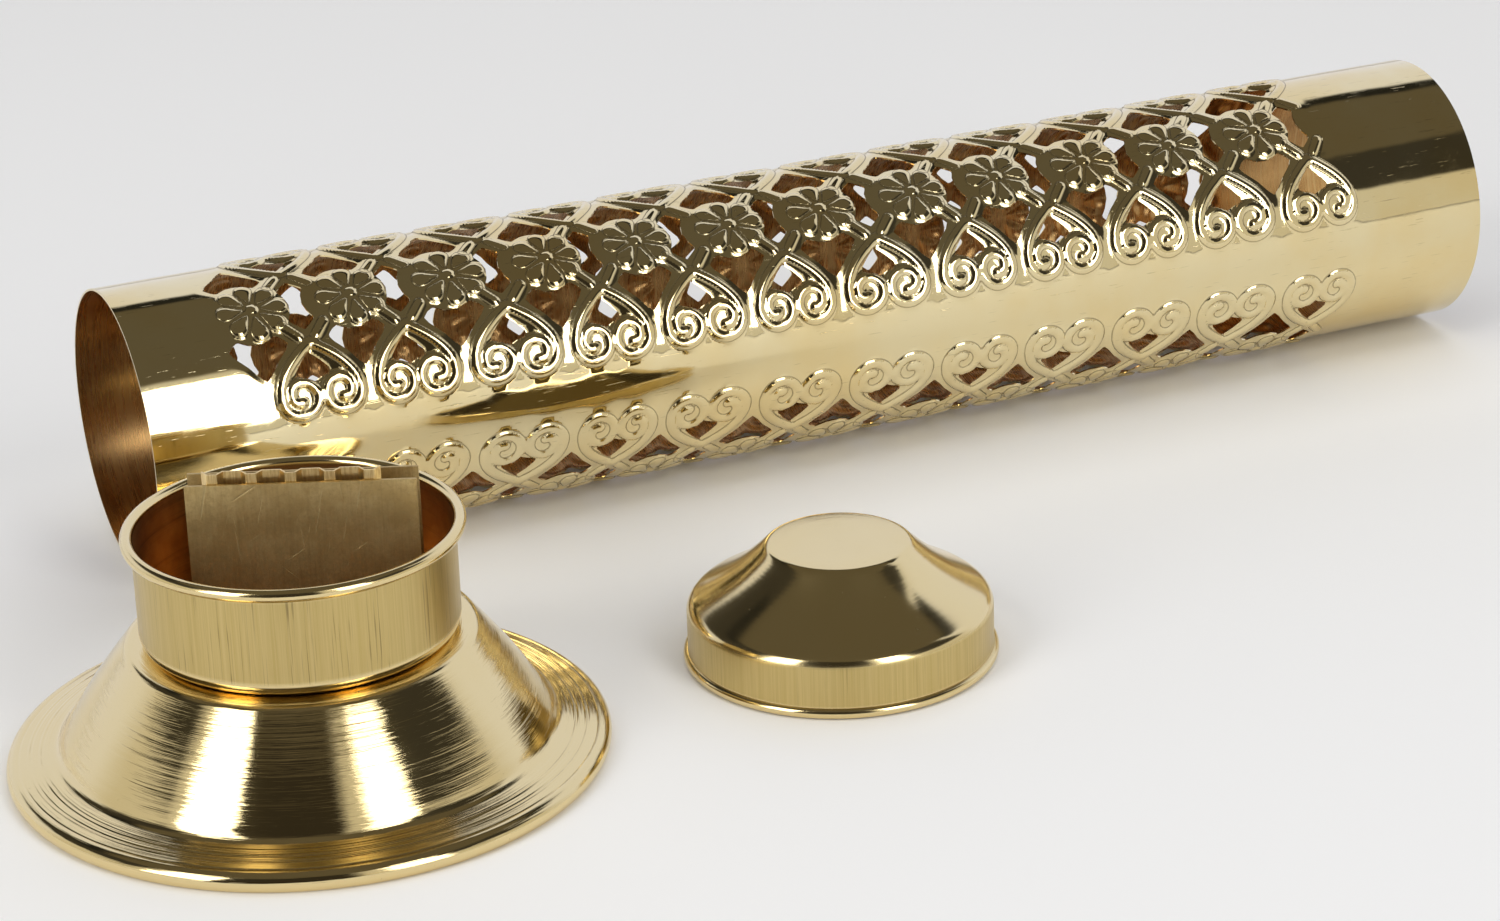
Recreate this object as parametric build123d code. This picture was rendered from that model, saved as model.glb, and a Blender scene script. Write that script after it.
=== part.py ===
"""Brass incense-stick tower, taken apart and laid out as for cleaning.

Three loose groups stand on one surface:
  the foot with the cup bolted on it and the stick holder inside the cup,
  the pierced smoke tube, lying on its side along +X,
  the cap, resting mouth down.
In use the left end of the tube drops into the cup and the cap slips over the right end.
The origin is the middle of the layout's bounding box, on the surface.
"""
import math
import os

from build123d import *

# Smoke tube
TUBE_RADIUS = 25.0  # outside
TUBE_LENGTH = 263.0
TUBE_WALL = 0.35
RELIEF_HEIGHT = 0.8  # how far the raised scrollwork stands off the tube, which lies on it

# Pierced pattern of the tube
PANEL_COUNT = 3
REPEATS = 12
REPEAT_PITCH = 17.94
FIRST_FLOWER = 21.9  # from the left end
FIRST_PANEL_ANGLE = 61.7  # middle of the upper front panel, up from the horizontal on the -Y side

# Where the three groups stand, from the tube's left end
FOOT_X, FOOT_Y = 5.6, -85.6
CAP_X, CAP_Y = 96.9, -91.4

# Foot, spun from sheet
FOOT_RADIUS = 48.1
FOOT_WALL = 0.8
FOOT_TOP_RADIUS = 28.5
FOOT_TOP_HEIGHT = 21.6
FLANK_END_RADIUS, FLANK_END_HEIGHT = 39.6, 5.0
FLANGE_EDGE_HEIGHT = 3.0
RIM_BEAD_RADIUS = 1.75
RIM_FLAT = 0.15  # depth ground off under the rim, so that it stands flat

# Cup and cap, spun on the same mandrel
SLEEVE_INSIDE = 25.2  # takes the tube with 0.2 mm to spare
SLEEVE_WALL = 0.4
BEAD_RADIUS = 1.05
CUP_RIM_HEIGHT = 39.5  # middle of the rim bead
CUP_CORNER = 2.4
CAP_HEIGHT = 20.3
CAP_DISC_RADIUS = 11.9
CAP_SHOULDER_HEIGHT = 9.6
CAP_FLANK_SAG = 0.35  # how far the cap's flank bows inward
CAP_BEAD_REACH = 0.8  # how far its bead stands out of the band

# Stick holder
HOLDER_WIDTH = 36.4
HOLDER_TOP = 48.1
HOLDER_SHEET = 0.5
HOLDER_GAP = 4.5  # between front and back plate
HOLDER_TURN = -22.86  # about the vertical
HOLDER_SHIFT = 1.9  # along its own width, off the cup's centre
FLUTE_SHEET = 0.3
FLUTE_PITCH = 6.15
FLUTE_COUNT = 5
FLUTE_FRONT_FLAT, FLUTE_BACK_FLAT = 1.5, 2.9
FLUTE_DEPTH = 1.3  # from the front flats back to the deeper ones
FLUTE_RISE = 1.6  # above the plates
FLUTE_SHIFT = -1.5  # along the holder's width, off the holder's middle
FLUTE_CLEARANCE = 0.05
FLUTE_BOTTOM_GAP = 0.3

# Centre fixing
SCREW_RADIUS = 1.25
SCREW_HEAD_RADIUS, SCREW_HEAD_HEIGHT = 2.0, 1.5
SCREW_TAIL = 0.8  # beyond the nut
FIXING_CLEARANCE = 0.05
WASHER_RADIUS, WASHER_THICKNESS = 3.5, 0.5
NUT_ACROSS_FLATS, NUT_HEIGHT = 5.0, 2.0

# Layout, worked out from the sizes above
ORIGIN_X = (FOOT_X - FOOT_RADIUS + TUBE_LENGTH) / 2
ORIGIN_Y = (FOOT_Y - FOOT_RADIUS + TUBE_RADIUS) / 2
FOOT_PLACE = (FOOT_X - ORIGIN_X, FOOT_Y - ORIGIN_Y)
CAP_PLACE = (CAP_X - ORIGIN_X, CAP_Y - ORIGIN_Y)
TUBE_START = (-ORIGIN_X, -ORIGIN_Y, TUBE_RADIUS + RELIEF_HEIGHT)


def spun(outline_points, radii, wall, side):
    """A sheet of even wall turned about Z: its line from point to point, rounded at each inner corner."""
    line = FilletPolyline(*outline_points, radius=radii)
    outline = line.wire().offset_2d(wall, side=side, closed=True)
    return revolve(Plane.XZ * make_face(outline), Axis.Z)


def bead_ring(radius, height, bead_radius):
    """A rolled bead that runs round at the given radius and height."""
    section = Plane.XZ * (Pos(radius, height) * Circle(bead_radius))
    return revolve(section, Axis.Z)


def at_foot(shape):
    return Pos(*FOOT_PLACE) * shape


def in_holder(shape):
    """Places a shape drawn about the holder's own middle, with its width along X."""
    return at_foot(Rot(0, 0, HOLDER_TURN) * Pos(HOLDER_SHIFT, 0) * shape)


def foot():
    flange_end = FOOT_RADIUS - RIM_BEAD_RADIUS
    shell = spun(
        [
            (SCREW_RADIUS + FIXING_CLEARANCE, FOOT_TOP_HEIGHT),
            (FOOT_TOP_RADIUS, FOOT_TOP_HEIGHT),
            (FLANK_END_RADIUS, FLANK_END_HEIGHT),
            (flange_end, FLANGE_EDGE_HEIGHT),
        ],
        [1.5, 3.0],
        FOOT_WALL,
        Side.RIGHT,
    )
    rim = bead_ring(flange_end, RIM_BEAD_RADIUS - RIM_FLAT, RIM_BEAD_RADIUS)
    below = Pos(0, 0, -RIM_BEAD_RADIUS) * Cylinder(2 * FOOT_RADIUS, 2 * RIM_BEAD_RADIUS)
    return at_foot(shell + (rim - below))


def cup():
    outside = SLEEVE_INSIDE + SLEEVE_WALL
    shell = spun(
        [
            (SCREW_RADIUS + FIXING_CLEARANCE, FOOT_TOP_HEIGHT),
            (outside, FOOT_TOP_HEIGHT),
            (outside, CUP_RIM_HEIGHT),
        ],
        [CUP_CORNER],
        SLEEVE_WALL,
        Side.LEFT,
    )
    rim = bead_ring(outside + BEAD_RADIUS - SLEEVE_WALL / 2, CUP_RIM_HEIGHT, BEAD_RADIUS)
    return at_foot(shell + rim)


def cap():
    outside = SLEEVE_INSIDE + SLEEVE_WALL
    middle = (
        (CAP_DISC_RADIUS + outside) / 2 - CAP_FLANK_SAG,
        (CAP_HEIGHT + CAP_SHOULDER_HEIGHT) / 2 - CAP_FLANK_SAG,
    )
    shell = spun(
        [
            (0, CAP_HEIGHT),
            (CAP_DISC_RADIUS, CAP_HEIGHT),
            middle,
            (outside, CAP_SHOULDER_HEIGHT),
            (outside, BEAD_RADIUS),
        ],
        [1.0, 30.0, 1.6],
        SLEEVE_WALL,
        Side.RIGHT,
    )
    bead_middle = outside + CAP_BEAD_REACH - BEAD_RADIUS
    bore = Cylinder(SLEEVE_INSIDE, 8 * BEAD_RADIUS)
    return Pos(*CAP_PLACE) * (shell + (bead_ring(bead_middle, BEAD_RADIUS, BEAD_RADIUS) - bore))


def flute_line():
    """The fluted strip's middle line: flats by the front plate, with deeper flats between them."""
    front = -(HOLDER_GAP / 2 - FLUTE_SHEET / 2 - FLUTE_CLEARANCE)
    deep = front + FLUTE_DEPTH
    half = FLUTE_FRONT_FLAT / 2
    slope = (FLUTE_PITCH - FLUTE_FRONT_FLAT - FLUTE_BACK_FLAT) / 2
    points = []
    for i in range(FLUTE_COUNT):
        x = FLUTE_PITCH * (i - (FLUTE_COUNT - 1) / 2)
        points += [(x - half - slope, deep), (x - half, front), (x + half, front), (x + half + slope, deep)]
    return points


def fluted_strip():
    edge = Polyline(*flute_line()).wire().offset_2d(FLUTE_SHEET / 2, side=Side.BOTH)
    bottom = holder_floor_top() + SCREW_HEAD_HEIGHT + FLUTE_BOTTOM_GAP
    strip = extrude(make_face(edge), HOLDER_TOP + FLUTE_RISE - bottom)
    return in_holder(Pos(FLUTE_SHIFT, 0, bottom) * strip)


def cup_floor_top():
    return FOOT_TOP_HEIGHT + SLEEVE_WALL


def holder_floor_top():
    return cup_floor_top() + HOLDER_SHEET


def holder_channel():
    """A strip folded to a U: front plate, floor and back plate, with the screw hole in its floor."""
    reach = HOLDER_GAP / 2 + HOLDER_SHEET
    line = FilletPolyline(
        (-reach, HOLDER_TOP),
        (-reach, cup_floor_top()),
        (reach, cup_floor_top()),
        (reach, HOLDER_TOP),
        radius=1.0,
    )
    section = make_face(line.wire().offset_2d(HOLDER_SHEET, side=Side.LEFT, closed=True))
    channel = extrude(Plane.YZ * section, HOLDER_WIDTH / 2, both=True)
    hole = Cylinder(SCREW_RADIUS + FIXING_CLEARANCE, 4 * HOLDER_SHEET)
    return in_holder(channel - Pos(-HOLDER_SHIFT, 0, cup_floor_top()) * hole)


def centre_screw():
    """Pan-head screw through holder, cup and foot."""
    head = Cylinder(SCREW_HEAD_RADIUS, SCREW_HEAD_HEIGHT, align=(Align.CENTER, Align.CENTER, Align.MIN))
    head = fillet(head.edges().group_by(Axis.Z)[-1], 0.6)
    slot = Pos(0, 0, SCREW_HEAD_HEIGHT) * Box(3 * SCREW_HEAD_RADIUS, 0.6, 1.2)
    bottom = FOOT_TOP_HEIGHT - FOOT_WALL - WASHER_THICKNESS - NUT_HEIGHT - SCREW_TAIL
    length = holder_floor_top() - bottom
    shank = Cylinder(SCREW_RADIUS, length, align=(Align.CENTER, Align.CENTER, Align.MAX))
    return at_foot(Pos(0, 0, holder_floor_top()) * (head - slot + shank))


def washer():
    ring = Cylinder(WASHER_RADIUS, WASHER_THICKNESS) - Cylinder(SCREW_RADIUS + FIXING_CLEARANCE, 1)
    return at_foot(Pos(0, 0, FOOT_TOP_HEIGHT - FOOT_WALL - WASHER_THICKNESS / 2) * ring)


def hex_nut():
    outline = RegularPolygon(NUT_ACROSS_FLATS / 2, 6, major_radius=False)
    body = extrude(outline - Circle(SCREW_RADIUS + FIXING_CLEARANCE), NUT_HEIGHT)
    top = FOOT_TOP_HEIGHT - FOOT_WALL - WASHER_THICKNESS
    return at_foot(Pos(0, 0, top - NUT_HEIGHT) * body)


def mirrored(points):
    """A symmetric outline from its right half, given from the bottom to the top of the centre line."""
    return points + [(-x, y) for x, y in reversed(points) if x > 0]


def pierced_openings():
    """Each opening of one repeat: along the tube and round it from the flower's middle, then its outline.

    A heart opening lies inside each heart, a shield opening between two hearts, and a waisted
    opening between two flowers.
    """
    half_pitch = REPEAT_PITCH / 2
    heart = mirrored([(0, -2.7), (3.2, -1.3), (2.4, 0.6), (0, 2.8)])
    shield = mirrored([(0, -4.0), (2.6, -1.0), (5.2, 2.4), (3.2, 4.2), (0, 3.1)])
    waisted = mirrored([(0, -5.6), (2.3, -3.5), (1.2, 0), (2.3, 3.5), (0, 5.6)])
    heart_row, shield_row = -12.4, -10.0
    upside_down = [[(x, -y) for x, y in outline] for outline in (heart, shield)]
    return [
        (half_pitch, heart_row, heart),
        (0, shield_row, shield),
        (half_pitch, 0, waisted),
        (half_pitch, -heart_row, upside_down[0]),
        (0, -shield_row, upside_down[1]),
    ]


def pierced_tube():
    """A plain tube with its pattern of openings cut square to the wall."""
    inside = TUBE_RADIUS - TUBE_WALL
    blank = extrude(Circle(TUBE_RADIUS) - Circle(inside), TUBE_LENGTH)
    cutters = []
    for along, around, outline in pierced_openings():
        face = make_face(Polyline(*outline, close=True))
        prism = extrude(Pos(0, 0, inside - 3) * face, 6)
        for panel in range(PANEL_COUNT):
            # A prism is drawn standing on +Z, and turning it about X by 90 degrees less its angle
            # up from -Y puts it where it belongs.
            up_from_front = FIRST_PANEL_ANGLE + panel * 360 / PANEL_COUNT + math.degrees(around / TUBE_RADIUS)
            turned = Rot(90 - up_from_front, 0, 0) * prism
            for i in range(REPEATS):
                cutters.append(Pos(FIRST_FLOWER + along + i * REPEAT_PITCH, 0, 0) * turned)
    lying = Plane.YZ * blank
    return Pos(*TUBE_START) * (lying - cutters)


NODES = {
    "base_foot": foot,
    "cup": cup,
    "holder_channel": holder_channel,
    "fluted_strip": fluted_strip,
    "centre_screw": centre_screw,
    "washer": washer,
    "hex_nut": hex_nut,
    "pierced_tube": pierced_tube,
    "cap": cap,
}

os.makedirs("parts", exist_ok=True)
for name, make in NODES.items():
    export_step(make(), f"parts/{name}.step")
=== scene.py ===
"""Looks of a brass incense tower laid out in three groups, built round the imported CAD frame.

Lengths are millimetres times MM, because Blender's unit is the metre. The three spun pieces and the
pierced tube are made here as real sheet, and stand for their plain CAD nodes.
"""
import math

import bpy
import numpy as np
from mathutils import Matrix, Vector


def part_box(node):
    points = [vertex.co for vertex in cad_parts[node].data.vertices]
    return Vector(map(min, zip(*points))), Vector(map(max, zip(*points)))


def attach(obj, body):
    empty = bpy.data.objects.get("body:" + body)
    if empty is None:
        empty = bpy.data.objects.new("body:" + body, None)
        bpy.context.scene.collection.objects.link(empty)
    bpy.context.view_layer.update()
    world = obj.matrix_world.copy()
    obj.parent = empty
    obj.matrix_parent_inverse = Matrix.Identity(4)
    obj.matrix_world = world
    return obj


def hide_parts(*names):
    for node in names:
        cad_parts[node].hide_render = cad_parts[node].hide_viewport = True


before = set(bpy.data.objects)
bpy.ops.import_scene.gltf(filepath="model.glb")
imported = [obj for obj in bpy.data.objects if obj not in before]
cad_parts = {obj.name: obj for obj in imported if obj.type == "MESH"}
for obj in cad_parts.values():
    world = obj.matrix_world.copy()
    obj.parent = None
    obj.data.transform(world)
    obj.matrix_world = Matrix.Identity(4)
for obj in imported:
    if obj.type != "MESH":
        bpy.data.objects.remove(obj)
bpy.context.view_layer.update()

MM = 0.001


def node_box(name):
    low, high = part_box(name)
    return np.array(low) / MM, np.array(high) / MM


FOOT_LOW, FOOT_HIGH = node_box("base_foot")
CUP_LOW, CUP_HIGH = node_box("cup")
CAP_LOW, CAP_HIGH = node_box("cap")
TUBE_LOW, TUBE_HIGH = node_box("pierced_tube")
FOOT_MIDDLE = (FOOT_LOW + FOOT_HIGH) / 2
CAP_MIDDLE = (CAP_LOW + CAP_HIGH) / 2
TUBE_MIDDLE = (TUBE_LOW + TUBE_HIGH) / 2


# ---------------------------------------------------------------- camera, light and stage

VIEW_AZIMUTH = math.radians(22.86)  # looking towards +Y, turned this much towards +X
VIEW_PITCH = math.radians(22.88)
VIEW_ROLL = math.radians(2.07)
CAMERA_PLACE = Vector((-283.5, -641.5, 314.6)) * MM
LENS, SENSOR_WIDTH = 105.0, 36.0
BOX_DISTANCE, BOX_LOW, BOX_HIGH = 1.2, 0.16, 1.36  # metres, for both soft boxes
FILL_PLACE, FILL_SIDE, FILL_POWER = Vector((0.1, 0.1, 1.4)), 1.6, 9

FRONT_WALL, BACK_WALL = (0.68, 0.66, 0.6), (0.84, 0.87, 1.0)
CAMERA_GAP = (0.035, 0.03, 0.022)
FRONT_STANDS, BACK_STAND = (0.045, 0.042, 0.035), (0.02, 0.02, 0.018)
DIM_TOP = (0.12, 0.105, 0.075)
BACKDROP = (0.82, 0.82, 0.82, 1)
FLOOR_REACH, FLOOR_WHITE = 3.0, (0.93, 0.93, 0.93, 1)


def camera():
    data = bpy.data.cameras.new("camera")
    data.lens = LENS
    data.sensor_width = SENSOR_WIDTH
    data.clip_start = 0.01
    lens = bpy.data.objects.new("camera", data)
    look = Matrix.Rotation(-VIEW_AZIMUTH, 3, "Z") @ Matrix.Rotation(math.pi / 2 - VIEW_PITCH, 3, "X")
    turned = look @ Matrix.Rotation(-VIEW_ROLL, 3, "Z")
    lens.matrix_world = Matrix.Translation(CAMERA_PLACE) @ turned.to_4x4()
    bpy.context.collection.objects.link(lens)
    bpy.context.scene.camera = lens


def soft_box(name, turn, width, power):
    """An upright panel of light, turned degrees to the right of the camera as seen from the set."""
    heading = -VIEW_AZIMUTH - math.pi / 2 + math.radians(turn)
    x, y = math.cos(heading) * BOX_DISTANCE, math.sin(heading) * BOX_DISTANCE
    place = Vector((x, y, (BOX_LOW + BOX_HIGH) / 2))
    away = Vector((place.x, place.y, 0))
    area_light(name, place, away, width, BOX_HIGH - BOX_LOW, power)


def area_light(name, place, away, width, height, power):
    data = bpy.data.lights.new(name, "AREA")
    data.shape = "RECTANGLE"
    data.size, data.size_y = width, height
    data.energy = power
    lamp = bpy.data.objects.new(name, data)
    lamp.location = place
    lamp.rotation_euler = away.to_track_quat("Z", "Y").to_euler()
    lamp.visible_camera = False
    bpy.context.collection.objects.link(lamp)
    return lamp


def overhead_fill():
    """Soft light on the floor, which the polished brass doesn't mirror."""
    upward = Vector((0, 0, 1))
    lamp = area_light("overhead_fill", FILL_PLACE, upward, FILL_SIDE, FILL_SIDE, FILL_POWER)
    lamp.visible_glossy = False


def node_maker(tree):
    def make(kind, inputs=None, **settings):
        node = tree.nodes.new(kind)
        for key, value in settings.items():
            setattr(node, key, value)
        for key, value in (inputs or {}).items():
            if isinstance(value, bpy.types.NodeSocket):
                tree.links.new(value, node.inputs[key])
            else:
                node.inputs[key].default_value = value
        return node

    return make


def colour_mix(make, tree, factor, a, b):
    """Colour a where the factor is 0 and b where it is 1; each is a socket or a plain colour."""
    node = make("ShaderNodeMix", data_type="RGBA")
    tree.links.new(factor, node.inputs["Factor"])
    for socket, value in ((node.inputs[6], a), (node.inputs[7], b)):
        if isinstance(value, tuple):
            socket.default_value = (*value, 1)
        else:
            tree.links.new(value, socket)
    return node.outputs[2]


def studio_world():
    """A pale room with a dim top, a dark gap where the camera looks in, and dark stands round it.

    Directions are degrees to the right of the camera, seen from the set, and degrees above the floor.
    The camera itself sees plain paper beyond the floor.
    """
    world = bpy.data.worlds.new("studio")
    bpy.context.scene.world = world
    world.use_nodes = True
    tree = world.node_tree
    tree.nodes.clear()
    make = node_maker(tree)

    def maths(operation, a, b=0.0):
        return make("ShaderNodeMath", {0: a, 1: b}, operation=operation).outputs[0]

    def step(value, edge, blur=1.5):
        start, end = math.radians(edge - blur), math.radians(edge + blur)
        inputs = {"Value": value, "From Min": start, "From Max": end}
        return make("ShaderNodeMapRange", inputs, interpolation_type="SMOOTHSTEP").outputs["Result"]

    def between(value, start, end, blur=1.5):
        return maths("SUBTRACT", step(value, start, blur), step(value, end, blur))

    def blend(factor, a, b):
        return colour_mix(make, tree, factor, a, b)

    def along(axis):
        inputs = {0: direction, 1: axis}
        return make("ShaderNodeVectorMath", inputs, operation="DOT_PRODUCT").outputs["Value"]

    direction = make("ShaderNodeTexCoord").outputs["Generated"]
    to_camera = along((-math.sin(VIEW_AZIMUTH), -math.cos(VIEW_AZIMUTH), 0))
    to_right = along((math.cos(VIEW_AZIMUTH), -math.sin(VIEW_AZIMUTH), 0))
    turn = maths("ARCTAN2", to_right, to_camera)
    height = maths("ARCSINE", along((0, 0, 1)))
    away = maths("ABSOLUTE", turn)
    wall = blend(step(away, 105, 12), FRONT_WALL, BACK_WALL)
    gap = blend(between(turn, -35, 21), wall, CAMERA_GAP)
    right_stand = maths("MULTIPLY", between(turn, 54, 104), step(height, 24))
    left_stand = maths("MULTIPLY", between(turn, -150, -68), step(height, 27))
    stands = blend(maths("MAXIMUM", right_stand, left_stand), gap, FRONT_STANDS)
    back_stand = maths("MULTIPLY", step(away, 112), step(height, 43))
    upright = blend(back_stand, stands, BACK_STAND)
    room = blend(step(height, 50), upright, DIM_TOP)
    light = make("ShaderNodeBackground", {"Color": room, "Strength": 1.0})
    paper = make("ShaderNodeBackground", {"Color": BACKDROP, "Strength": 1.0})
    seen = make("ShaderNodeLightPath").outputs["Is Camera Ray"]
    both = make("ShaderNodeMixShader", {0: seen, 1: light.outputs[0], 2: paper.outputs[0]})
    make("ShaderNodeOutputWorld", {0: both.outputs[0]})


def floor():
    mesh = bpy.data.meshes.new("floor")
    sides = ((-1, -1), (1, -1), (1, 1), (-1, 1))
    mesh.from_pydata([(x * FLOOR_REACH, y * FLOOR_REACH, 0) for x, y in sides], [], [(0, 1, 2, 3)])
    ground = bpy.data.objects.new("floor", mesh)
    bpy.context.collection.objects.link(ground)
    material = bpy.data.materials.new("floor_paper")
    material.use_nodes = True
    shader = material.node_tree.nodes["Principled BSDF"]
    shader.inputs["Base Color"].default_value = FLOOR_WHITE
    shader.inputs["Roughness"].default_value = 0.9
    shader.inputs["Specular IOR Level"].default_value = 0.1
    mesh.materials.append(material)


# ---------------------------------------------------------------- materials

CLEAN_BRASS = (0.82, 0.7, 0.42)
WARM_BRASS = (0.8, 0.64, 0.33)
FOOT_BRASS = (0.8, 0.65, 0.35)
SATIN_BRASS = (0.53, 0.4, 0.15)
SCORED_BRASS = (0.26, 0.19, 0.08)
BROWNED_BRASS = (0.62, 0.38, 0.15)
BURNT_BRASS = (0.2, 0.1, 0.035)
AGED_BRASS = (0.66, 0.49, 0.21)
# dark tarnish for specks, scratches and turning marks; also used as the painted shade in the tube relief's
# creases
TARNISH_AND_CREASE_SHADE = (0.13, 0.09, 0.04)
TURNED_RADIUS = 25.6  # at which turned marks have the size asked for


class Finish:
    """A Principled material under construction, with short names for the nodes it uses."""

    def __init__(self, name):
        self.material = bpy.data.materials.new(name)
        self.material.use_nodes = True
        self.tree = self.material.node_tree
        self.shader = self.tree.nodes["Principled BSDF"]
        self.make = node_maker(self.tree)
        self.shader.inputs["Metallic"].default_value = 1.0
        self.normal = None

    def maths(self, operation, a, b=0.0, c=0.0):
        return self.make("ShaderNodeMath", {0: a, 1: b, 2: c}, operation=operation).outputs[0]

    def ramp(self, value, start, end, low=0.0, high=1.0):
        node = self.make(
            "ShaderNodeMapRange",
            {"Value": value, "From Min": start, "From Max": end, "To Min": low, "To Max": high},
            interpolation_type="SMOOTHSTEP",
        )
        return node.outputs["Result"]

    def mix(self, factor, a, b):
        return colour_mix(self.make, self.tree, factor, a, b)

    def place(self):
        """The point's place in millimetres."""
        return self.stretched(self.make("ShaderNodeTexCoord").outputs["Object"], (1 / MM,) * 3)

    def height(self):
        return self.make("ShaderNodeSeparateXYZ", {0: self.place()}).outputs[2]

    def turned_noise(self, centre, around, along, detail=3.0, roughness=0.6):
        """Noise that closes round a turned piece, with this many spots in each mm round and along it."""
        from_centre = {0: self.place(), 1: tuple(centre)}
        out = self.make("ShaderNodeVectorMath", from_centre, operation="SUBTRACT").outputs[0]
        flat = self.stretched(out, (1, 1, 0))
        heading = self.make("ShaderNodeVectorMath", {0: flat}, operation="NORMALIZE").outputs[0]
        profile = self.make("ShaderNodeUVMap", uv_map="unrolled").outputs[0]
        ring = self.stretched(heading, (TURNED_RADIUS * around,) * 3)
        length = self.stretched(self.make("ShaderNodeSeparateXYZ", {0: profile}).outputs[1], (along,) * 3)
        upright = self.stretched(length, (0, 0, 1))
        place = self.make("ShaderNodeVectorMath", {0: ring, 1: upright}, operation="ADD").outputs[0]
        return self.noise(place, 1.0, detail, roughness)

    def stretched(self, vector, scale):
        return self.make("ShaderNodeVectorMath", {0: vector, 1: scale}, operation="MULTIPLY").outputs[0]

    def noise(self, vector, scale=1.0, detail=3.0, roughness=0.55):
        inputs = {"Vector": vector, "Scale": scale, "Detail": detail, "Roughness": roughness}
        return self.make("ShaderNodeTexNoise", inputs).outputs["Fac"]

    def value_of(self, name):
        return self.make("ShaderNodeAttribute", attribute_name=name).outputs["Fac"]

    def bump(self, height, depth):
        """Adds relief of the given depth in millimetres."""
        inputs = {"Height": height, "Distance": depth * MM, "Strength": 1.0}
        if self.normal:
            inputs["Normal"] = self.normal
        self.normal = self.make("ShaderNodeBump", inputs).outputs[0]

    def done(self, colour, roughness):
        self.tree.links.new(colour, self.shader.inputs["Base Color"])
        self.tree.links.new(roughness, self.shader.inputs["Roughness"])
        if self.normal:
            self.tree.links.new(self.normal, self.shader.inputs["Normal"])
        return self.material


def polished_relief_brass():
    """Bright brass with painted shade darkening the creases along its chased lines, found from the sheet's
    own distances to them.
    """
    f = Finish("polished_relief_brass")
    place = f.place()
    strand_edge = f.maths("ABSOLUTE", f.maths("SUBTRACT", f.value_of("strand"), STRAND_HALF_WIDTH))
    petal_edge = f.maths("ABSOLUTE", f.value_of("petal"))
    line = f.maths("MINIMUM", strand_edge, petal_edge)
    crease_shade_mask = f.ramp(line, 0.02, 0.17, 1.0, 0.0)
    patches = f.noise(place, 0.045, 4.0)
    smudges = f.ramp(f.noise(place, 0.16, 5.0, 0.65), 0.5, 0.72)
    hairlines = f.ramp(f.noise(f.stretched(place, (0.05, 1.0, 1.0)), 3.4, 2.0), 0.66, 0.74)
    dents = f.noise(f.stretched(place, (0.7, 1.0, 1.0)), 0.11, 2.0)
    colour = f.mix(f.ramp(patches, 0.35, 0.7), CLEAN_BRASS, WARM_BRASS)
    # painted shade: the creases along the chased lines are darkened towards the dark tarnish colour
    colour = f.mix(f.maths("MULTIPLY", crease_shade_mask, 0.6), colour, TARNISH_AND_CREASE_SHADE)
    base = f.maths("MULTIPLY_ADD", smudges, 0.07, 0.055)
    rough = f.maths("MULTIPLY_ADD", crease_shade_mask, 0.3, base)
    f.bump(crease_shade_mask, -0.02)
    colour = f.mix(f.maths("MULTIPLY", hairlines, 0.25), colour, TARNISH_AND_CREASE_SHADE)
    f.bump(hairlines, -0.006)
    f.bump(dents, 0.05)
    return f.done(colour, rough)


def browned_inside_brass():
    """The tube's unpolished inside, browned by heat and resin, with marks of rolling round it."""
    f = Finish("browned_inside_brass")
    place = f.place()
    streaks = f.noise(f.stretched(place, (1.0, 0.03, 0.03)), 2.2, 3.0)
    blotches = f.noise(place, 0.07, 4.0, 0.6)
    colour = f.mix(f.ramp(blotches, 0.3, 0.75), BROWNED_BRASS, (0.36, 0.19, 0.07))
    colour = f.mix(f.ramp(streaks, 0.45, 0.8, 0.0, 0.5), colour, (0.7, 0.5, 0.24))
    rough = f.maths("MULTIPLY_ADD", streaks, 0.15, 0.2)
    f.bump(streaks, 0.003)
    return f.done(colour, rough)


def turned_brass(name, centre, mark_depth, roughness, satin=None, scoring=0.0):
    """Spun brass with turning marks.

    Satin gives the heights between which it is brushed upright and scored.
    """
    f = Finish(name)
    place = f.place()
    rings = f.turned_noise(centre, 0.05, 2.3, 3.0, 0.7)
    wide_rings = f.turned_noise(centre, 0.012, 0.42, 2.0)
    patches = f.noise(place, 0.05, 4.0)
    specks = f.ramp(f.noise(place, 1.1, 2.0), 0.72, 0.8)
    colour = f.mix(f.ramp(patches, 0.35, 0.7), FOOT_BRASS, WARM_BRASS)
    colour = f.mix(f.maths("MULTIPLY", specks, 0.35), colour, TARNISH_AND_CREASE_SHADE)
    rough = f.maths("MULTIPLY_ADD", f.noise(place, 0.12, 4.0), 0.06, roughness)
    rough = f.maths("MULTIPLY_ADD", specks, 0.2, rough)
    if satin:
        bottom, top = satin
        high = f.height()
        band = f.maths(
            "MULTIPLY",
            f.ramp(high, bottom - 0.5, bottom + 0.5),
            f.ramp(high, top - 0.5, top + 0.5, 1.0, 0.0),
        )
        hair = f.turned_noise(centre, 2.6, 0.02, 4.0, 0.8)
        share = f.ramp(f.turned_noise(centre, 0.12, 0.08, 2.0), 0.4, 0.6, 0.35, 1.0)
        bars = f.maths("MULTIPLY", share, f.ramp(f.turned_noise(centre, 2.9, 0.05, 2.0), 0.58, 0.7))
        scored = f.maths("MULTIPLY", band, bars)
        pale = f.mix(f.ramp(hair, 0.3, 0.7), SATIN_BRASS, (0.62, 0.48, 0.21))
        colour = f.mix(band, colour, pale)
        colour = f.mix(f.maths("MULTIPLY", scored, scoring), colour, SCORED_BRASS)
        rough = f.maths("MULTIPLY_ADD", band, 0.22, rough)
        rings = f.mix(band, rings, hair)
        mark_depth = max(mark_depth, 0.012)
    f.bump(rings, mark_depth)
    f.bump(wide_rings, 2 * mark_depth)
    return f.done(colour, rough)


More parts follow.
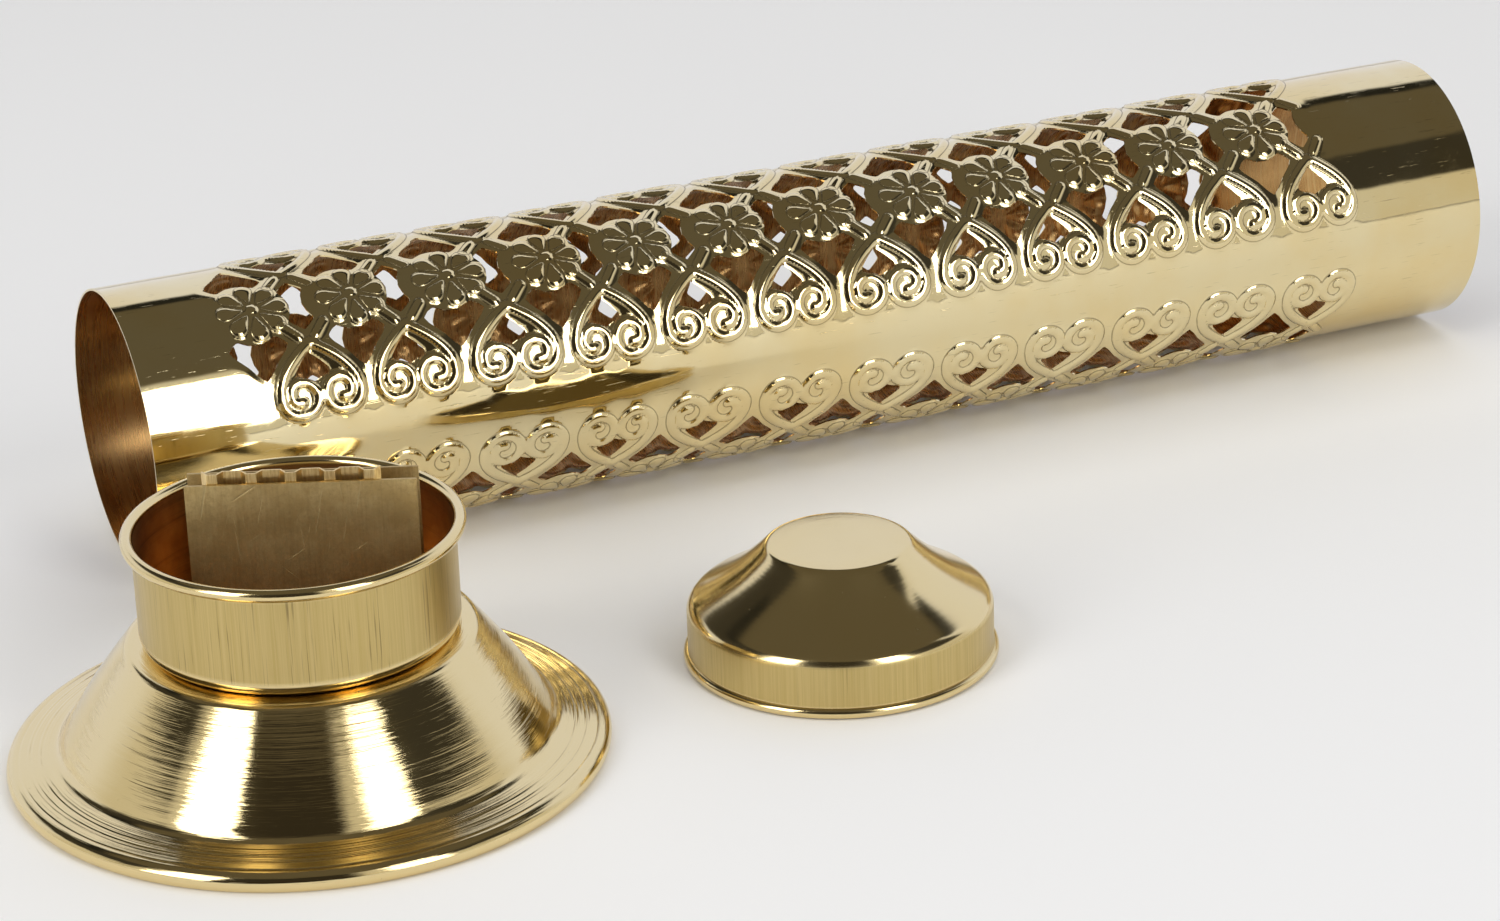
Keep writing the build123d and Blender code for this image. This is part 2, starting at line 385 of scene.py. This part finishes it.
def dull_turned_brass(name, centre, colours, roughness):
    """The unpolished side of a spun piece, with coarse turning marks and spots."""
    f = Finish(name)
    rings = f.turned_noise(centre, 0.03, 1.4, 4.0, 0.7)
    clouds = f.noise(f.place(), 0.1, 5.0, 0.65)
    colour = f.mix(f.ramp(clouds, 0.35, 0.7), *colours)
    colour = f.mix(f.ramp(rings, 0.5, 0.75, 0.0, 0.5), colour, TARNISH_AND_CREASE_SHADE)
    f.bump(rings, 0.02)
    return f.done(colour, f.maths("MULTIPLY_ADD", clouds, 0.15, roughness))


def scratches(f, u, v, angle, spacing, share):
    """Thin straight marks at an angle in the plane of u and v, about one in each spacing."""
    c, s = math.cos(math.radians(angle)), math.sin(math.radians(angle))
    along = f.maths("ADD", f.maths("MULTIPLY", u, c), f.maths("MULTIPLY", v, s))
    across = f.maths("SUBTRACT", f.maths("MULTIPLY", v, c), f.maths("MULTIPLY", u, s))
    lengthwise = f.maths("MULTIPLY", along, 0.12 / spacing)
    crosswise = f.maths("MULTIPLY", across, 3 / spacing)
    place = f.make("ShaderNodeCombineXYZ", {0: lengthwise, 1: crosswise, 2: angle}).outputs[0]
    return f.ramp(f.noise(place, 1.0, 2.0), share, share + 0.04)


PLATE_ALONG = (0.92, -0.39)  # direction of the holder's width, which is turned about the vertical
SCRATCHES = ((78, 2.0, 0.67), (96, 1.7, 0.69), (35, 2.6, 0.7), (140, 2.4, 0.71))  # angle, spacing, share


def aged_sheet_brass():
    """Dull rolled sheet: brown tarnish, faint upright rolling marks, pits and bright scratches."""
    f = Finish("aged_sheet_brass")
    place = f.place()
    split = f.make("ShaderNodeSeparateXYZ", {0: place})
    along_x = f.maths("MULTIPLY", split.outputs[0], PLATE_ALONG[0])
    width = f.maths("ADD", along_x, f.maths("MULTIPLY", split.outputs[1], PLATE_ALONG[1]))
    high = split.outputs[2]
    grain = f.noise(f.stretched(place, (1.0, 1.0, 0.06)), 2.0, 4.0, 0.7)
    clouds = f.noise(place, 0.16, 5.0, 0.7)
    mottle = f.noise(place, 0.9, 4.0, 0.7)
    pits = f.ramp(f.noise(place, 1.6, 3.0), 0.69, 0.75)
    marks = scratches(f, width, high, *SCRATCHES[0])
    for family in SCRATCHES[1:]:
        marks = f.maths("MAXIMUM", marks, scratches(f, width, high, *family))
    colour = f.mix(f.ramp(clouds, 0.38, 0.66), AGED_BRASS, (0.8, 0.63, 0.3))
    colour = f.mix(f.ramp(mottle, 0.4, 0.75, 0.0, 0.6), colour, (0.48, 0.32, 0.13))
    colour = f.mix(f.ramp(grain, 0.4, 0.75, 0.0, 0.4), colour, (0.46, 0.3, 0.12))
    colour = f.mix(f.maths("MAXIMUM", pits, f.maths("MULTIPLY", marks, 0.55)), colour, (0.72, 0.58, 0.3))
    rough = f.maths("MULTIPLY_ADD", mottle, 0.2, 0.4)
    f.bump(grain, 0.015)
    f.bump(marks, -0.02)
    return f.done(colour, rough)


def fluted_strip_brass():
    f = Finish("fluted_strip_brass")
    grain = f.noise(f.stretched(f.place(), (1.0, 1.0, 0.1)), 3.0, 3.0)
    colour = f.mix(f.ramp(grain, 0.4, 0.7), (0.9, 0.7, 0.34), (0.7, 0.48, 0.2))
    f.bump(grain, 0.01)
    return f.done(colour, f.maths("MULTIPLY_ADD", grain, 0.15, 0.26))


def fixing_brass():
    f = Finish("fixing_brass")
    place = f.place()
    wear = f.noise(place, 0.9, 4.0)
    colour = f.mix(f.ramp(wear, 0.35, 0.7), WARM_BRASS, (0.42, 0.3, 0.13))
    f.bump(f.noise(f.stretched(place, (1, 1, 4)), 2.5, 2.0), 0.01)
    return f.done(colour, f.maths("MULTIPLY_ADD", wear, 0.2, 0.18))


# ---------------------------------------------------------------- turned pieces


def arc(centre_r, centre_z, radius, start, end, count=12):
    """Points on an arc, angles in degrees from the outward direction, up positive."""
    angles = np.radians(np.linspace(start, end, count))
    return [(centre_r + radius * math.cos(a), centre_z + radius * math.sin(a)) for a in angles]


def straight(start, end, step=1.2):
    """Points from start to end, without the end itself."""
    gap = np.subtract(end, start)
    count = max(2, int(np.hypot(*gap) / step))
    return [tuple(np.add(start, gap * i / count)) for i in range(count)]


def folded_back(line, wall):
    """The closed outline of a sheet whose one face is the line and whose other lies to its right."""
    points = np.array(line)
    ahead = np.gradient(points, axis=0)
    ahead /= np.linalg.norm(ahead, axis=1)[:, None]
    inner = points + wall * np.column_stack((ahead[:, 1], -ahead[:, 0]))
    return np.vstack((points, inner[::-1]))


def turned_piece(name, line, wall, centre, body, materials, lining, segments=288):
    """Turns a sheet's line about the upright axis at centre. Its UV map is millimetres round and along.

    The faces in the lining, a range of steps along the closed outline, take the second material.
    """
    outline = folded_back(line, wall)
    count = len(outline)
    angles = np.linspace(0, 2 * math.pi, segments, endpoint=False)
    r, z = outline[:, 0], outline[:, 1]
    x = centre[0] + np.cos(angles)[:, None] * r
    y = centre[1] + np.sin(angles)[:, None] * r
    points = np.stack((x, y, np.broadcast_to(z, x.shape)), axis=-1).reshape(-1, 3) * MM
    faces = []
    for i in range(segments):
        a, b = i * count, (i + 1) % segments * count
        for j in range(count):
            k = (j + 1) % count
            faces.append((a + j, a + k, b + k, b + j))
    mesh = bpy.data.meshes.new(name)
    mesh.from_pydata(points.tolist(), [], faces)
    lengths = np.linalg.norm(np.diff(np.vstack((outline, outline[:1])), axis=0), axis=1)
    along = np.concatenate(([0], np.cumsum(lengths)))
    around = np.linspace(0, 2 * math.pi * r.max(), segments + 1)
    uv = np.empty((segments, count, 4, 2))
    for corner, (turn, step) in enumerate(((0, 0), (0, 1), (1, 1), (1, 0))):
        uv[:, :, corner, 0] = around[turn : turn + segments, None]
        uv[:, :, corner, 1] = along[step : step + count]
    mesh.uv_layers.new(name="unrolled").data.foreach_set("uv", uv.ravel())
    piece = finished(mesh, body, *materials)
    side = np.zeros((segments, count), np.int32)
    side[:, lining] = 1
    mesh.polygons.foreach_set("material_index", side.ravel())
    return piece


def finished(mesh, body, *materials, crease_shade_mask=40):
    for material in materials:
        mesh.materials.append(material)
    mesh.shade_smooth()
    mesh.set_sharp_from_angle(angle=math.radians(crease_shade_mask))
    piece = bpy.data.objects.new(mesh.name, mesh)
    bpy.context.collection.objects.link(piece)
    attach(piece, body)
    return piece


def bend(start, corner, end, count=9):
    """A round bend between two stretches, drawn as a parabola towards their corner."""
    points = []
    for t in np.linspace(0, 1, count):
        a = np.multiply(start, (1 - t) ** 2)
        b = np.multiply(corner, 2 * t * (1 - t))
        points.append(tuple(a + b + np.multiply(end, t * t)))
    return points


def bowed(start, end, bow, count=20):
    """The points between start and end of a stretch whose middle is moved by bow."""
    points = []
    for i in range(1, count):
        t = i / count
        share = math.sin(math.pi * t)
        r = start[0] + (end[0] - start[0]) * t + bow[0] * share
        points.append((r, start[1] + (end[1] - start[1]) * t + bow[1] * share))
    return points


SCREW_HOLE_RADIUS = 1.3
FOOT_TOP = CUP_LOW[2]
RIM_SPREAD = 0.4  # how far the rolled rim stands out of its plain CAD ring
FOOT_REACH = (FOOT_HIGH[0] - FOOT_LOW[0]) / 2 + RIM_SPREAD
FOOT_WALL = 0.8
FOOT_CORNER = 1.5
FLANK_BULGE = 0.35
RIM_RADIUS = 1.75
RIM_FLAT = 0.15  # how far the rim's middle lies below its own radius, as in the CAD ring
GROOVE_HEIGHT, GROOVE_STEP = 0.03, 0.15
FLANK_START, FLANK_END = (28.9, FOOT_TOP - 1.0), (39.0, 6.3)
FLANGE_START, FLANGE_END_HEIGHT = (41.0, 4.35), 3.4


def flange_grooves(r):
    """How far the ringed flange rises at radius r."""
    ringed = np.clip((r - FLANGE_START[0]) / 0.8, 0, 1) * np.clip((FOOT_REACH - 3.2 - r) / 0.6, 0, 1)
    fine, coarse = math.sin(2 * math.pi * r / 0.62), math.sin(2 * math.pi * r / 0.97)
    return GROOVE_HEIGHT * ringed * (fine + 0.7 * coarse)


def foot_line():
    """The foot's outer face from its screw hole down the flank and flange and round the rolled rim."""
    rim_middle = (FOOT_REACH - RIM_RADIUS, RIM_RADIUS - RIM_FLAT)
    line = straight((SCREW_HOLE_RADIUS, FOOT_TOP), (FLANK_START[0] - 1.9, FOOT_TOP), 3)
    line += arc(FLANK_START[0] - 1.7, FOOT_TOP - FOOT_CORNER, FOOT_CORNER, 88, 36, 8)
    line += bowed(line[-1], FLANK_END, (FLANK_BULGE, 0))
    line += bend(FLANK_END, (FLANK_END[0] + 0.75, 4.45), FLANGE_START)
    flange_end = rim_middle[0] - 0.5
    for r in np.arange(FLANGE_START[0] + GROOVE_STEP, flange_end, GROOVE_STEP):
        t = (r - FLANGE_START[0]) / (flange_end - FLANGE_START[0])
        height = FLANGE_START[1] + (FLANGE_END_HEIGHT - FLANGE_START[1]) * t
        line.append((r, height + flange_grooves(r)))
    return line + arc(*rim_middle, RIM_RADIUS, 102, -215, 44)


SLEEVE_INSIDE, SLEEVE_WALL = 25.2, 0.4
BEAD, BEAD_STEPS = 1.05, 32
CUP_CORNER = 2.0
CAP_DISC_RADIUS, CAP_SHOULDER, CAP_SAG = 11.9, 9.9, 0.45
CAP_BEAD, CAP_BEAD_HEIGHT = 0.9, 1.05


def cup_line():
    """The cup's inner face from its floor up and outward round the rolled bead."""
    corner = CUP_CORNER
    floor_top = FOOT_TOP + SLEEVE_WALL
    line = straight((SCREW_HOLE_RADIUS, floor_top), (SLEEVE_INSIDE - corner, floor_top), 3)
    line += arc(SLEEVE_INSIDE - corner, floor_top + corner, corner, -90, 0, 12)
    bead_height = CUP_HIGH[2] - BEAD
    line += straight((SLEEVE_INSIDE, floor_top + corner + 0.5), (SLEEVE_INSIDE, bead_height - 0.4))
    return line + arc(SLEEVE_INSIDE + BEAD, bead_height, BEAD, 180, -160, BEAD_STEPS)


def cap_line():
    """The cap's outer face from the middle of its disc down to the bead round its mouth."""
    outside = SLEEVE_INSIDE + SLEEVE_WALL
    top, disc, shoulder = CAP_HIGH[2], CAP_DISC_RADIUS, CAP_SHOULDER
    line = straight((0.02, top), (disc - 0.5, top), 2.5)
    line += bend((disc - 0.5, top), (disc, top), (disc + 0.45, top - 0.38), 6)
    flank_end = (outside - 1.3, shoulder + 0.85)
    line += bowed(line[-1], flank_end, (-CAP_SAG, -CAP_SAG))
    line += bend(flank_end, (outside, shoulder), (outside, shoulder - 1.3))
    line += straight((outside, shoulder - 1.8), (outside, 2.15))
    return line + arc(outside - 0.1, CAP_BEAD_HEIGHT, CAP_BEAD, 80, -88, 16)


# ---------------------------------------------------------------- pierced tube

TUBE_RADIUS = (TUBE_HIGH[2] - TUBE_LOW[2]) / 2
TUBE_LENGTH = TUBE_HIGH[0] - TUBE_LOW[0]
TUBE_WALL = 0.35
PANELS, REPEATS, PITCH = 3, 12, 17.94
FIRST_FLOWER = 21.9
FIRST_PANEL_ANGLE = math.radians(61.7)
PANEL_HEIGHT = 2 * math.pi * TUBE_RADIUS / PANELS
STRAND_HALF_WIDTH = 0.98
STRAND_HEIGHT = 0.45
DOME_HEIGHT, DOME_RADIUS = 0.25, 7.6
PETAL_HEIGHT, PETAL_TIP_RADIUS, PETAL_STEM_RADIUS = 0.5, 1.6, 0.3
PETAL_START, PETAL_LENGTH = 1.9, 2.95
BOSS_RADIUS, BOSS_HEIGHT = 1.2, 0.5
FLOWER_SHIFT, HEART_HOLE_SHIFT = 1.1, -0.7  # the stamp never meets the piercing exactly
HEART_SINK, OTHER_SINK = (0.35, 1.1), (0.1, 0.7)  # depth beside an opening, and how far it reaches
SWELL_HEIGHT = 0.06
PATTERN_MARGIN = 9.4  # of the fine grid beyond the first and last flowers and hearts
PATTERN_HALF_HEIGHT = 22.0  # round the tube, from the flowers' middles
GRID = 0.42
FAR = 9.0  # a distance that no chased line reaches


def heart_strand():
    """Half of a heart, from its pointed tip down its side and round into the curl."""
    line = bend_cubic((0, -8.1), (3.4, -10.6), (7.2, -13.6), (7.2, -17.6), 14)
    lobe, curl_radii = (3.7, -17.6), (3.5, 3.3, 3.0, 2.6, 1.7, 1.0)  # a radius every quarter turn
    for turn in np.linspace(0, 5, 36)[1:]:
        radius = np.interp(turn, range(6), curl_radii)
        angle = -turn * math.pi / 2
        line.append((lobe[0] + radius * math.cos(angle), lobe[1] + radius * math.sin(angle)))
    return np.array(line)


def bend_cubic(a, b, c, d, count):
    t = np.linspace(0, 1, count)[:, None]
    points = (1 - t) ** 3 * a + 3 * t * (1 - t) ** 2 * b + 3 * t**2 * (1 - t) * c + t**3 * d
    return [tuple(p) for p in np.asarray(points)]


def line_distance(x, y, line, closed=False):
    """The distance from each point to a line of straight stretches, negative inside a closed one."""
    nearest = np.full(x.shape, np.inf)
    inside = np.zeros(x.shape, bool)
    ends = np.roll(line, -1, axis=0) if closed else line[1:]
    for (ax, ay), (bx, by) in zip(line, ends):
        dx, dy = bx - ax, by - ay
        t = np.clip(((x - ax) * dx + (y - ay) * dy) / (dx * dx + dy * dy), 0, 1)
        nearest = np.minimum(nearest, np.hypot(x - ax - t * dx, y - ay - t * dy))
        if closed:
            crosses = (ay > y) != (by > y)
            with np.errstate(divide="ignore", invalid="ignore"):
                inside ^= crosses & (x < ax + (y - ay) * dx / (dy if dy else 1e-9))
    return np.where(inside, -nearest, nearest) if closed else nearest


def both_halves(points):
    """A symmetric closed outline from its right half."""
    return np.array(points + [(-x, y) for x, y in reversed(points) if x > 0])


HEART_HOLE = both_halves(
    [(0, -15.2), (1.2, -14.6), (2.4, -14.2), (3.1, -13.8), (3.0, -13.1), (1.6, -11.4), (0, -9.8)]
)
SHIELD_HOLE = both_halves(
    [(0, -14.0), (1.2, -12.8), (2.6, -10.9), (4.7, -8.7), (5.3, -7.6)]
    + [(4.4, -6.5), (3.3, -5.8), (2.5, -6.3), (1.4, -6.85), (0, -7.0)]
)
WAIST_HOLE = both_halves(
    [(0, -5.7), (1.2, -4.7), (2.35, -3.6), (1.55, -2.0), (1.15, 0)]
    + [(1.55, 2.0), (2.35, 3.6), (1.2, 4.7), (0, 5.7)]
)
HEART_STRAND = heart_strand()
STUB_RIB = np.array([(1.6, -7.0), (3.6, -4.6)])


def nearest_repeat(s, first):
    """The place along the tube from the middle of the nearest of the repeats."""
    index = np.clip(np.round((s - first) / PITCH), 0, REPEATS - 1)
    return s - first - index * PITCH


def openings_distance(s, w):
    """Distances to the edges of the nearest heart opening and of the nearest other, negative inside.

    Here and below, s is along the tube from its left end and w round it from the flowers' middles.
    """
    low = -np.abs(w)
    heart = nearest_repeat(s, FIRST_FLOWER + PITCH / 2)
    flower = nearest_repeat(s, FIRST_FLOWER)
    heart_hole = line_distance(heart - HEART_HOLE_SHIFT, low, HEART_HOLE, True)
    shield_hole = line_distance(flower, low, SHIELD_HOLE, True)
    return heart_hole, np.minimum(shield_hole, line_distance(heart, w, WAIST_HOLE, True))


def petal_distance(s, w):
    """Signed distance to the outline of the nearest of a flower's eight petals, and to its middle."""
    x = nearest_repeat(s, FIRST_FLOWER + FLOWER_SHIFT)
    from_middle = np.hypot(x, w)
    eighth = math.pi / 4
    angle = np.arctan2(w, x)
    angle -= np.round(angle / eighth) * eighth
    across = np.abs(from_middle * np.sin(angle))
    along = from_middle * np.cos(angle) - PETAL_START
    taper = (PETAL_STEM_RADIUS - PETAL_TIP_RADIUS) / PETAL_LENGTH
    slope = math.sqrt(1 - taper * taper)
    k = -taper * across + slope * along
    stem = np.hypot(across, along) - PETAL_STEM_RADIUS
    tip = np.hypot(across, along - PETAL_LENGTH) - PETAL_TIP_RADIUS
    side = slope * across + taper * along - PETAL_STEM_RADIUS
    return np.where(k < 0, stem, np.where(k > slope * PETAL_LENGTH, tip, side)), from_middle


def strand_distance(s, w):
    """Distance to the middle of the nearest heart's side or of the stub ribs beside its tip."""
    x = nearest_repeat(s, FIRST_FLOWER + PITCH / 2)
    low = -np.abs(w)
    side = np.minimum(line_distance(x, low, HEART_STRAND), line_distance(-x, low, HEART_STRAND))
    return np.minimum(side, line_distance(np.abs(x), low, STUB_RIB))


def smooth(value, start, end):
    t = np.clip((value - start) / (end - start), 0, 1)
    return t * t * (3 - 2 * t)


def relief(s, w):
    """How far the stamped sheet stands out of the plain tube, and its distances to the chased lines."""
    strand = strand_distance(s, w)
    petal, from_middle = petal_distance(s, w)
    heart_hole, other_hole = openings_distance(s, w)
    strand_top = STRAND_HEIGHT * (1 - smooth(strand, 0.5, 1.0))
    dome = DOME_HEIGHT * np.clip(1 - (from_middle / DOME_RADIUS) ** 2, 0, 1)
    depth = np.clip(0.1 - petal / 1.7, 0, 1)
    pad = PETAL_HEIGHT * np.sqrt(1 - (1 - depth) ** 2)
    boss = BOSS_HEIGHT * np.sqrt(np.clip(1 - (from_middle / BOSS_RADIUS) ** 2, 0, 1))
    height = np.maximum(dome + pad + boss, strand_top)
    holes = ((heart_hole, HEART_SINK), (other_hole, OTHER_SINK))
    sunk = sum(deep * np.exp(-((hole / reach) ** 2)) for hole, (deep, reach) in holes)
    swell = SWELL_HEIGHT * (1 - smooth(strand, 0.8, 3.2))
    height = height + swell - sunk * (1 - strand_top / STRAND_HEIGHT) * (petal > 0)
    return height, np.minimum(strand, FAR), np.where(from_middle < DOME_RADIUS, petal, FAR)


def settled_inside(s, w):
    """The softer relief of the inner face: the flowers as shells, and the strands as shallow furrows."""
    petal, from_middle = petal_distance(s, w)
    furrow = 0.6 * STRAND_HEIGHT * (1 - smooth(strand_distance(s, w), 0.2, 1.7))
    dome = DOME_HEIGHT * np.clip(1 - (from_middle / DOME_RADIUS) ** 2, 0, 1)
    return np.maximum(dome + 0.8 * PETAL_HEIGHT * smooth(-petal, -0.5, 1.2), furrow)


def along_tube():
    """Grid places along the tube: fine under the pattern and coarse on the plain ends."""
    start = FIRST_FLOWER - PATTERN_MARGIN
    end = FIRST_FLOWER + (REPEATS - 0.5) * PITCH + PATTERN_MARGIN
    left = np.linspace(0, start, 8)[:-1]
    right = np.linspace(end, TUBE_LENGTH, 14)[1:]
    return np.concatenate((left, np.linspace(start, end, int((end - start) / GRID)), right))


def round_panel():
    """Grid places round one panel: fine under the pattern and coarse on the plain band beside it."""
    edge = PATTERN_HALF_HEIGHT
    strip = np.linspace(edge, PANEL_HEIGHT / 2, 5)
    fine = np.linspace(-edge, edge, 2 * int(edge / GRID) + 1)
    return np.concatenate((-strip[:0:-1], fine, strip[1:]))


def pierced_panel():
    """One panel's sheet as flat points and faces, cut along the openings' edges.

    Grid points near an edge are moved onto it, and cells that an edge crosses are clipped there.
    """
    s, w = np.meshgrid(along_tube(), round_panel(), indexing="ij")
    rows = s.shape[1]
    edge = np.minimum(*openings_distance(s, w))
    slope_s = np.gradient(edge, axis=0) / np.gradient(s, axis=0)
    slope_w = np.gradient(edge, axis=1) / np.gradient(w, axis=1)
    near = np.abs(edge) < 0.3 * GRID
    steep = np.maximum(slope_s**2 + slope_w**2, 0.25)
    s = np.where(near, s - edge * slope_s / steep, s)
    w = np.where(near, w - edge * slope_w / steep, w)
    edge = np.where(near, 0, edge).ravel()
    points = np.column_stack((s.ravel(), w.ravel())).tolist()
    number = np.arange(s.size).reshape(s.shape)
    corners = (number[:-1, :-1], number[1:, :-1], number[1:, 1:], number[:-1, 1:])
    cells = np.stack(corners, axis=-1).reshape(-1, 4)
    solid = edge[cells] >= 0
    whole = solid.all(axis=1)
    faces = cells[whole].tolist()
    crossings = {}
    for cell in cells[~whole & (edge[cells] > 0).any(axis=1)]:
        face = []
        for a, b in zip(cell, np.roll(cell, -1)):
            if edge[a] >= 0:
                face.append(int(a))
            if edge[a] * edge[b] < 0:
                key = (min(a, b), max(a, b))
                if key not in crossings:
                    t = edge[a] / (edge[a] - edge[b])
                    pa, pb = points[a], points[b]
                    crossings[key] = len(points)
                    points.append([pa[0] + t * (pb[0] - pa[0]), pa[1] + t * (pb[1] - pa[1])])
                face.append(crossings[key])
        if len(face) > 2:
            faces.append(face)
    return np.array(points), faces, rows, s.shape[0]


def hand_work(s, angle):
    """Unevenness of a hand-made tube: how far the stamps wander along it, and how its wall ripples."""
    fade = smooth(s, 5, 30) * (1 - smooth(s, TUBE_LENGTH - 25, TUBE_LENGTH - 3))
    wander = 0.35 * np.sin(s / 11.3 + 1.3 * angle) + 0.25 * np.sin(s / 6.1 + 2.0)
    ripple = 0.05 * np.sin(s / 8.3 + 2 * np.sin(angle)) + 0.045 * np.sin(s / 15.7 + 2.6 * angle)
    return fade * wander, fade * ripple


def pierced_tube():
    """The whole tube: three panels joined round it, with an outer and an inner face and their cut edges."""
    flat, panel_faces, rows, columns = pierced_panel()
    count = len(flat)
    outer, strand, petal = relief(flat[:, 0], flat[:, 1])
    inner = settled_inside(flat[:, 0], flat[:, 1])
    number = np.arange(count)
    joins_next = np.zeros(count, bool)
    joins_next[rows - 1 : rows * columns : rows] = True
    faces, shells = [], []
    for panel in range(PANELS):
        angle = FIRST_PANEL_ANGLE + panel * 2 * math.pi / PANELS + flat[:, 1] / TUBE_RADIUS
        shells.append((flat[:, 0], angle, outer, inner))
        following = (panel + 1) % PANELS * count
        index = np.where(joins_next, number - (rows - 1) + following, number + panel * count)
        faces += [[int(index[i]) for i in face] for face in panel_faces]
    s, angle, outer, inner = (np.concatenate(part) for part in zip(*shells))
    wander, ripple = hand_work(s, angle)
    radii = TUBE_RADIUS + ripple + np.vstack((outer, inner - TUBE_WALL))
    points = np.empty((2, len(s), 3))
    points[:, :, 0] = TUBE_LOW[0] + s + wander
    points[:, :, 1] = TUBE_MIDDLE[1] - radii * np.cos(angle)
    points[:, :, 2] = TUBE_MIDDLE[2] + radii * np.sin(angle)
    total = len(s)
    directed = dict.fromkeys(pair for face in faces for pair in zip(face, face[1:] + face[:1]))
    rims = [(b, a, a + total, b + total) for a, b in directed if (b, a) not in directed]
    inside = [[i + total for i in reversed(face)] for face in faces]
    used = np.zeros(2 * total, bool)
    for face in faces:
        used[face] = True
    used[total:] = used[:total]
    place = np.cumsum(used) - 1
    every = [place[list(face)].tolist() for face in faces + inside + rims]
    mesh = bpy.data.meshes.new("smoke_tube_sheet")
    mesh.from_pydata((points.reshape(-1, 3)[used] * MM).tolist(), [], every)
    for name, values in (("strand", strand), ("petal", petal)):
        attribute = mesh.attributes.new(name, "FLOAT", "POINT")
        attribute.data.foreach_set("value", np.tile(values, 2 * PANELS)[used])
    lining = np.zeros(len(every), np.int32)
    lining[len(faces) : 2 * len(faces)] = 1
    tube = finished(mesh, "smoke_tube", polished_relief_brass(), browned_inside_brass(), crease_shade_mask=55)
    mesh.polygons.foreach_set("material_index", lining)
    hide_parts("pierced_tube")


# ---------------------------------------------------------------- the whole set


def turned_pieces():
    dull = (SATIN_BRASS, AGED_BRASS)
    line = foot_line()
    polished = turned_brass("foot_brass", FOOT_MIDDLE, 0.045, 0.05)
    under = dull_turned_brass("foot_underside_brass", FOOT_MIDDLE, dull, 0.3)
    back = slice(len(line), 2 * len(line))
    foot = turned_piece("foot_spun", line, FOOT_WALL, FOOT_MIDDLE, "stand", (polished, under), back)
    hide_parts("base_foot")
    line = cup_line()
    polished = turned_brass("cup_brass", FOOT_MIDDLE, 0.004, 0.1, (FOOT_TOP + 2.6, CUP_HIGH[2] - 2.4), 0.85)
    inside = dull_turned_brass("cup_lining_brass", FOOT_MIDDLE, (BROWNED_BRASS, (0.42, 0.23, 0.085)), 0.25)
    front = slice(0, len(line) - BEAD_STEPS)
    cup = turned_piece("cup_spun", line, SLEEVE_WALL, FOOT_MIDDLE, "stand", (polished, inside), front)
    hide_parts("cup")
    line = cap_line()
    polished = turned_brass("cap_brass", CAP_MIDDLE, 0.012, 0.1, (2.0, CAP_SHOULDER - 0.6), 0.3)
    inside = dull_turned_brass("cap_lining_brass", CAP_MIDDLE, (BROWNED_BRASS, BURNT_BRASS), 0.25)
    back = slice(len(line), 2 * len(line))
    cap = turned_piece("cap_spun", line, SLEEVE_WALL, CAP_MIDDLE, "cap", (polished, inside), back)
    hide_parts("cap")


def cad_finishes():
    aged, fixing = aged_sheet_brass(), fixing_brass()
    for name, material in (
        ("holder_channel", aged),
        ("fluted_strip", fluted_strip_brass()),
        ("centre_screw", fixing),
        ("washer", fixing),
        ("hex_nut", fixing),
    ):
        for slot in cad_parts[name].material_slots:
            slot.material = material


bpy.context.scene.view_settings.view_transform = "Standard"
studio_world()
camera()
soft_box("soft_box_right", 38, 0.44, 7)
soft_box("soft_box_left", -46, 0.5, 8)
overhead_fill()
floor()
turned_pieces()
pierced_tube()
cad_finishes()
